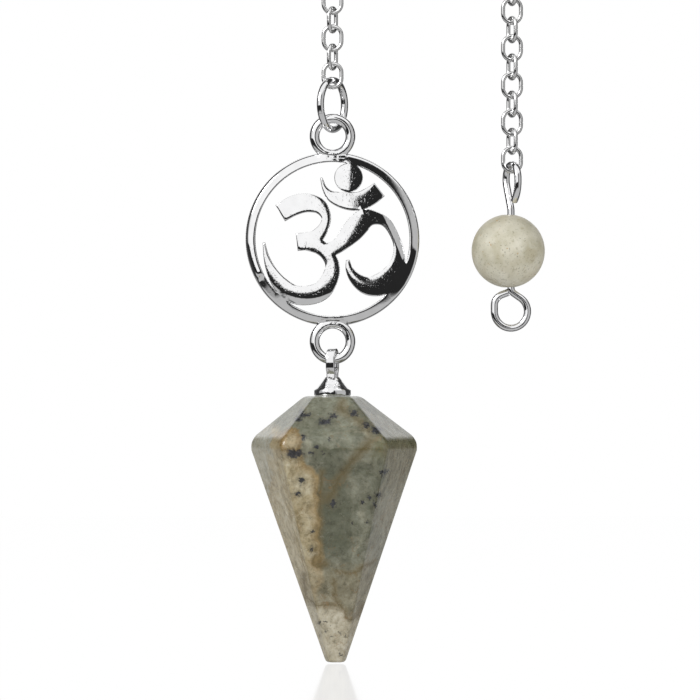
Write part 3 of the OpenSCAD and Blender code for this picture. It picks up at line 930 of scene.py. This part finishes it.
def stone_material():
    """Polished labradorite feldspar: clouded grey-green with a golden zone and specks.
    Places are millimetres across and up from the middle of the shoulder."""
    mat, tree, shader = node_material("feldspar")
    place = vector(tree, "MULTIPLY_ADD", object_coords(tree), (1000, 1000, 1000),
                   (-LEFT_X, 0, -SHOULDER_Z))
    half = (0.5, 0.5, 0.5)
    drift = vector(tree, "SUBTRACT", noise(tree, place, 0.5, 3, 0.5, 0, True), half)
    wavy = vector(tree, "MULTIPLY_ADD", drift, (2.2, 2.2, 2.2), place)
    fret = vector(tree, "SUBTRACT", noise(tree, place, 2.8, 6, 0.65, 0, True), half)
    rough_place = vector(tree, "MULTIPLY_ADD", fret, (1.5, 1.5, 1.5), place)
    flat = vector(tree, "MULTIPLY", rough_place, (1, 0, 1))
    flowing = vector(tree, "MULTIPLY_ADD", drift, (1.0, 1.0, 1.0), place)
    flowing = vector(tree, "MULTIPLY_ADD", fret, (0.9, 0.9, 0.9), flowing)
    flowing = vector(tree, "MULTIPLY", flowing, (1, 0, 1))
    x, _, z = split(tree, wavy)
    across, up = partial(fade, tree, x), partial(fade, tree, z)

    clouds = noise(tree, wavy, 0.36, 9, 0.6, 0.5)
    colour = ramp(tree, clouds, [
        (0.30, tone(70, 72, 56)), (0.42, tone(95, 97, 81)), (0.54, tone(116, 117, 102)),
        (0.70, tone(150, 149, 132))])
    # Paler, bluer grey over the crown, with murky spots
    colour = over(tree, colour, 0.45, tone(130, 134, 118), up(-1.5, 0.8), across(3.4, 1.6))
    colour = over(tree, colour, 0.55, tone(84, 82, 60),
                  fade(tree, noise(tree, rough_place, 0.8, 7, 0.65), 0.5, 0.66), up(0.4, 1.4))
    # Left flank painted paler: painted light, where the flank gets less light than the front
    colour = over(tree, colour, 0.9, tone(172, 171, 160), across(-6.3, -7.0))
    # Dark olive beside the golden zone, and below the right of the crown
    colour = over(tree, colour, 0.7, tone(80, 83, 66), across(2.6, 0.2), across(-2.4, -0.9),
                  up(-1.2, -3.4), up(-13.5, -10.5))
    colour = over(tree, colour, 0.65, tone(100, 98, 66), up(1.3, 0.1), up(-3.0, -1.2),
                  across(3.6, 5.4))
    # Brownish right flank with fine upright streaks, paler further down
    streaks = noise(tree, vector(tree, "MULTIPLY", rough_place, (2.6, 1.6, 0.22)), 1, 4)
    streaks = ramp(tree, streaks, [(0.35, tone(106, 100, 80)), (0.62, tone(148, 143, 124))])
    colour = over(tree, colour, 0.8, streaks, across(5.2, 6.4), up(0.2, -1.6))
    past_edge = fade(tree, calc(tree, "MULTIPLY_ADD", z, -EDGE_LEAN, x), 6.3, 7.0)
    colour = over(tree, colour, 0.5, tone(164, 162, 150), past_edge, up(-3.5, -6.5))

    # Golden-brown zone down the left of the front, beige inside, deeper at its border
    border_x = calc(tree, "MULTIPLY_ADD", up(-4.8, 0.6), -3.0, -1.35)
    into = calc(tree, "SUBTRACT", border_x, x)
    inner = ramp(tree, noise(tree, wavy, 0.7, 8, 0.65), [
        (0.32, tone(132, 120, 90)), (0.46, tone(164, 152, 122)), (0.60, tone(180, 171, 146)),
        (0.74, tone(196, 189, 168))])
    hem = calc(tree, "MULTIPLY", fade(tree, into, 1.5, 0.2), 0.7)
    top_hem = product(tree, up(-2.6, 0.2), across(-6.7, -5.4), 0.4)
    left_hem = calc(tree, "MULTIPLY", across(-5.6, -6.7), 0.2)
    hem = calc(tree, "MAXIMUM", calc(tree, "MAXIMUM", hem, top_hem), left_hem)
    orange = ramp(tree, noise(tree, rough_place, 1.1, 6), [
        (0.35, tone(116, 94, 54)), (0.65, tone(156, 131, 84))])
    inner = mix(tree, hem, inner, orange)
    golden = product(tree, fade(tree, into, -0.3, 0.35), up(1.6, 0.7), across(-7.0, -6.5),
                     up(-19, -15.5))
    colour = mix(tree, golden, colour, inner)

    # Rounded cream patch with an orange border at the zone's top
    patch = vector(tree, "SUBTRACT", flat, (-4.45, 0, 0.0))
    patch = vector(tree, "LENGTH", vector(tree, "MULTIPLY", patch, (0.95, 0, 0.78)))
    colour = over(tree, colour, 0.7, tone(136, 108, 60), fade(tree, patch, 1.3, 1.05))
    colour = over(tree, colour, 0.85, tone(168, 156, 128), fade(tree, patch, 1.05, 0.3))

    # Browner lower end, and a pale tip with a wavy upper edge
    brown = ramp(tree, noise(tree, wavy, 0.6, 8, 0.6), [
        (0.35, tone(116, 106, 82)), (0.6, tone(162, 155, 133))])
    colour = over(tree, colour, 0.55, brown, up(-12.5, -15))
    pale = ramp(tree, noise(tree, wavy, 0.9, 8, 0.6), [
        (0.3, tone(168, 160, 139)), (0.65, tone(196, 190, 173))])
    edge_z = calc(tree, "ADD", z, calc(tree, "MULTIPLY", across(0.4, 2.2), 1.3))
    colour = over(tree, colour, 0.9, pale, fade(tree, edge_z, -16.8, -18.9))

    # Painted light: lighter beyond the front's left edge, on the left flank below the
    # shoulder, where the flank gets less light than the front
    plain_x, _, plain_z = split(tree, place)
    beyond = calc(tree, "MULTIPLY_ADD", plain_z, EDGE_LEAN, plain_x)
    colour = over(tree, colour, 0.4, tone(196, 190, 172), fade(tree, beyond, -6.45, -6.9),
                  fade(tree, plain_z, -0.2, -1.6))

    mottle = ramp(tree, noise(tree, place, 1.3, 10, 0.75), [
        (0.28, tone(150, 146, 132)), (0.48, tone(228, 226, 220)), (0.66, tone(255, 255, 255))])
    colour = mix(tree, 1.0, colour, mottle, "MULTIPLY")

    for points, wide in VEINS:
        gap = line_gap(tree, flowing, points)
        colour = over(tree, colour, 0.5, tone(96, 80, 44),
                      fade(tree, gap, 2.4 * wide, 0.1 * wide), fade(tree, clouds, 0.3, 0.5))
        colour = over(tree, colour, 0.45, tone(80, 70, 42),
                      fade(tree, gap, 0.6 * wide, 0.15 * wide))

    # Threads of rust, mineral dust and pale glints through the whole stone
    thread = calc(tree, "ABSOLUTE", calc(
        tree, "SUBTRACT", noise(tree, wavy, 0.55, 6, 0.55, 0.8), 0.5))
    colour = over(tree, colour, 0.5, tone(116, 88, 50), fade(tree, thread, 0.016, 0.002),
                  fade(tree, noise(tree, place, 0.25, 2), 0.46, 0.58))
    colour = over(tree, colour, 0.55, tone(72, 70, 60),
                  fade(tree, noise(tree, place, 3.4, 3, 0.6), 0.66, 0.72))
    colour = over(tree, colour, 0.35, tone(188, 184, 168),
                  fade(tree, noise(tree, place, 1.7, 6, 0.7), 0.60, 0.80))

    nearest = None
    for sx, sz, wide, high in SPECKS:
        gap = vector(tree, "SUBTRACT", flat, (sx, 0, sz))
        gap = vector(tree, "LENGTH", vector(tree, "MULTIPLY", gap, (1 / wide, 0, 1 / high)))
        nearest = gap if nearest is None else calc(tree, "MINIMUM", nearest, gap)
    colour = over(tree, colour, 0.35, tone(84, 80, 62), fade(tree, nearest, 3.0, 1.2))
    dark = ramp(tree, noise(tree, place, 3.5, 3), [
        (0.4, tone(14, 17, 22)), (0.62, tone(46, 47, 52))])
    colour = over(tree, colour, 0.95, dark, fade(tree, nearest, 1.45, 0.65))

    rough = ramp(tree, noise(tree, place, 1.2, 6, 0.6), [(0.3, 0.14), (0.7, 0.30)])
    set_inputs(tree, shader, {
        "Base Color": colour, "Roughness": rough, "IOR": 1.56, "Subsurface Weight": 0.12,
        "Subsurface Radius": (1.0, 0.8, 0.5), "Subsurface Scale": 0.0009})
    bump(tree, shader, noise(tree, place, 1.6, 3, 0.5), 0.07, 0.00012)
    return mat


def bead_material():
    """Satin cream stone with fine grey and a few ochre specks."""
    mat, tree, shader = node_material("speckled_bead")
    place = vector(tree, "MULTIPLY", object_coords(tree), (1000, 1000, 1000))
    colour = ramp(tree, noise(tree, place, 0.5, 6, 0.6), [
        (0.35, tone(171, 166, 145)), (0.5, tone(186, 182, 164)), (0.68, tone(200, 196, 181))])
    # Painted shade towards its crest and painted light towards its base, then clouds and
    # specks
    height = split(tree, place)[2]
    colour = over(tree, colour, 0.3, tone(160, 156, 140),
                  fade(tree, height, BEAD_Z + 0.5, BEAD_Z + 3.5))
    colour = over(tree, colour, 0.4, tone(216, 212, 196),
                  fade(tree, height, BEAD_Z - 0.5, BEAD_Z - 3))
    for scale, low, high, share, shade in (
            (0.4, 0.50, 0.66, 0.35, tone(164, 154, 126)),
            (3.0, 0.58, 0.70, 0.45, tone(138, 132, 110)),
            (5.0, 0.64, 0.71, 0.6, tone(84, 82, 74)),
            (2.1, 0.69, 0.75, 0.65, tone(158, 120, 62))):
        spots = noise(tree, place, scale, 2, 0.5)
        colour = over(tree, colour, share, shade, fade(tree, spots, low, high))
    set_inputs(tree, shader, {
        "Base Color": colour, "Roughness": 0.46, "Specular IOR Level": 0.35,
        "Subsurface Weight": 0.15, "Subsurface Radius": (1.0, 0.9, 0.7),
        "Subsurface Scale": 0.0008})
    bump(tree, shader, noise(tree, place, 4.0, 4), 0.15, 0.00005)
    return mat


stone.data.materials.append(stone_material())
bead.data.materials.append(bead_material())


# Floor, light and camera

WHITE = (1, 1, 1)
# The floor in metres: how far below the tip, half its width, its front and back edge
FLOOR_DROP, FLOOR_HALF, FLOOR_FRONT, FLOOR_BACK = 0.11 * MM, 0.6, -0.12, 0.8
# Its glow to the camera and to anything else, and how much it mirrors
FLOOR_SEEN, FLOOR_GLOW, FLOOR_GLOSS, FLOOR_ROUGH, FLOOR_IOR = 1.0, 0.78, 0.32, 0.06, 1.5


def build_stage():
    """White glossy floor that ends a little in front of the part."""
    mesh = bpy.data.meshes.new("floor")
    z = TIP_Z * MM - FLOOR_DROP
    mesh.from_pydata([(-FLOOR_HALF, FLOOR_FRONT, z), (FLOOR_HALF, FLOOR_FRONT, z),
                      (FLOOR_HALF, FLOOR_BACK, z), (-FLOOR_HALF, FLOOR_BACK, z)],
                     [], [(0, 1, 2, 3)])
    floor = linked("floor", mesh)
    mat, tree, shader = node_material("floor_acrylic")
    seen = tree.nodes.new("ShaderNodeLightPath").outputs["Is Camera Ray"]
    strength = calc(tree, "MULTIPLY_ADD", seen, FLOOR_SEEN - FLOOR_GLOW, FLOOR_GLOW)
    glow = add(tree, "ShaderNodeEmission", {"Color": WHITE, "Strength": strength})
    gloss = add(tree, "ShaderNodeBsdfGlossy", {"Color": WHITE, "Roughness": FLOOR_ROUGH})
    mirror = add(tree, "ShaderNodeFresnel", {"IOR": FLOOR_IOR}).outputs["Fac"]
    blend = add(tree, "ShaderNodeMixShader", {
        0: calc(tree, "MULTIPLY", mirror, FLOOR_GLOSS),
        1: glow.outputs["Emission"], 2: gloss.outputs["BSDF"]})
    set_inputs(tree, tree.nodes["Material Output"], {"Surface": blend.outputs["Shader"]})
    tree.nodes.remove(shader)
    mesh.materials.append(mat)
    floor.visible_glossy = False


# Edges of the studio's parts, each (from, to) on the direction's across, back or up
BLACK_ACROSS, BLACK_UP = (0.028, 0.038), (-0.052, -0.062)
GREY_ACROSS, GREY_UP, SKY_UP = (0.36, 0.46), (-0.36, -0.48), (0.5, 0.65)
CARDS_NEAR, CARDS_FAR, WALL_BACK = (0.0, 0.08), (0.66, 0.58), (0.58, 0.66)
WALL_LOW, WALL_HIGH, WALL_HIGH_SIDE = (-0.04, -0.10), (0.14, 0.22), (0.46, 0.38)
STRAIGHT_BACK, STRAIGHT_UP = (0.955, 0.97), (-0.10, -0.04)
ROOM_GREY, BLACK_CARD, SIDE_CARD = (0.5, 0.5, 0.5), (0.02, 0.02, 0.02), (0.04, 0.04, 0.04)
WALL_DARK, WALL_FOOT = (0.05, 0.05, 0.05), (0.28, 0.28, 0.28)


def build_world():
    """Studio surroundings: white above and at the upper left of the front, black cards
    below and to the right of it and round the sides, a grey room beyond and a dark wall
    behind, white at its top and straight behind. The camera itself sees white."""
    world = bpy.data.worlds.new("studio")
    bpy.context.scene.world = world
    world.use_nodes = True
    tree = world.node_tree
    coords = tree.nodes.new("ShaderNodeTexCoord").outputs["Generated"]
    across, back, up = split(tree, coords)
    black = calc(tree, "MAXIMUM", fade(tree, across, *BLACK_ACROSS), fade(tree, up, *BLACK_UP))
    grey = calc(tree, "MAXIMUM", fade(tree, across, *GREY_ACROSS), fade(tree, up, *GREY_UP))
    pattern = mix(tree, black, ramp(tree, calc(tree, "MULTIPLY_ADD", across, 0.5, 0.5), [
        (0.0, 0.4), (0.1, 0.95), (0.45, 1.0)]), BLACK_CARD)
    pattern = mix(tree, grey, pattern, ROOM_GREY)
    pattern = mix(tree, fade(tree, up, *SKY_UP), pattern, WHITE)
    pattern = over(tree, pattern, 1.0, SIDE_CARD,
                   fade(tree, back, *CARDS_NEAR), fade(tree, back, *CARDS_FAR))
    wall = mix(tree, fade(tree, up, *WALL_LOW), WALL_DARK, WALL_FOOT)
    wall = over(tree, wall, 1.0, WHITE, fade(tree, up, *WALL_HIGH),
                fade(tree, calc(tree, "ABSOLUTE", across), *WALL_HIGH_SIDE))
    wall = over(tree, wall, 1.0, WHITE,
                fade(tree, back, *STRAIGHT_BACK), fade(tree, up, *STRAIGHT_UP))
    pattern = mix(tree, fade(tree, back, *WALL_BACK), pattern, wall)
    seen = tree.nodes.new("ShaderNodeLightPath").outputs["Is Camera Ray"]
    colour = mix(tree, seen, pattern, WHITE)
    tree.links.new(colour, tree.nodes["Background"].inputs["Color"])


def area_light(name, place, target, size, power):
    light = bpy.data.lights.new(name, "AREA")
    light.shape = "DISK"
    light.size = size
    light.energy = power
    obj = linked(name, light)
    obj.location = place
    obj.rotation_euler = (Vector(target) - Vector(place)).to_track_quat("-Z", "Y").to_euler()
    return obj


# The photograph: pixels per millimetre, pixels each way, and the pixel where the middle
# of the left run's last link stands
PX_PER_MM, PHOTO_PX, RUN_END_PX = 9.16, 700, (332.5, 75.45)
CAMERA_AWAY, SENSOR = 0.9, 36


def build_camera():
    centre_x = LEFT_X + (PHOTO_PX / 2 - RUN_END_PX[0]) / PX_PER_MM
    centre_z = ARCH_Z - LEFT_RUN - (PHOTO_PX / 2 - RUN_END_PX[1]) / PX_PER_MM
    data = bpy.data.cameras.new("camera")
    data.sensor_width = SENSOR
    data.lens = SENSOR * CAMERA_AWAY / (PHOTO_PX / PX_PER_MM * MM)
    data.clip_start, data.clip_end = 0.05, 20
    camera = linked("camera", data)
    camera.location = (centre_x * MM, -CAMERA_AWAY, centre_z * MM)
    camera.rotation_euler = (math.radians(90), 0, 0)
    bpy.context.scene.camera = camera


build_stage()
build_world()
FOCUS = (-0.008, 0, -0.1)
area_light("softbox_left", (-0.5, -0.35, 0.25), FOCUS, 0.35, 2.6)
fill = area_light("fill_right", (0.45, -0.7, 0.05), FOCUS, 0.6, 3.4)
fill.visible_glossy = False
build_camera()
bpy.context.scene.view_settings.view_transform = "Standard"
